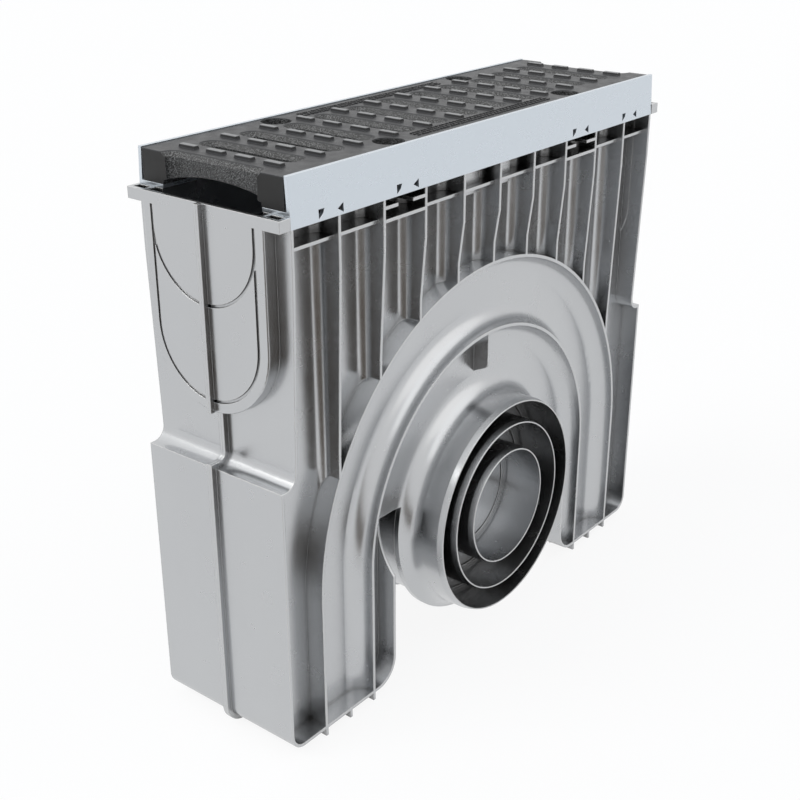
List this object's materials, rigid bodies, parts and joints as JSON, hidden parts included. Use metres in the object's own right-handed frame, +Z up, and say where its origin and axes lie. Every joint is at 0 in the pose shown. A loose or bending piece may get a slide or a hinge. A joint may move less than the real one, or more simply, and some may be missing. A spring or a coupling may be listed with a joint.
{
  "type": "channel drain sump",
  "caption": "Ribbed plastic sump for a slotted channel drain, with stepped pipe spigots on both sides, steel edge rails, iron grate and lift-out sediment bucket.",
  "frame": {"origin": "middle of the base, at the height of the undersides of the feet, on the joint plane of the two half shells", "axes": "+X along the channel, +Y across it away from the front outlet, +Z up"},
  "size_m": [0.5386, 0.19, 0.4776],
  "materials": {
    "shell": "satin silver-grey moulding",
    "rail": "bright galvanised",
    "iron": "dark dipped casting",
    "plug": "matt black",
    "bucket": "galvanised sheet",
    "wire": "galvanised wire"
  },
  "bodies": {
    "sump": {"front_shell": "shell", "rear_shell": "shell", "front_edge_rail": "rail", "rear_edge_rail": "rail", "grate": "iron", "lock_plug_1": "plug", "lock_plug_2": "plug", "lock_plug_3": "plug", "lock_plug_4": "plug", "sediment_bucket": "bucket"},
    "bail": {"bucket_handle": "wire"}
  },
  "joints": [
    {"name": "bail_swing", "type": "hinge", "parent": "sump", "child": "bail", "pos_m": [0, 0, 0.4026], "axis": [-1, 0, 0], "range_deg": [0, 161]}
  ]
}
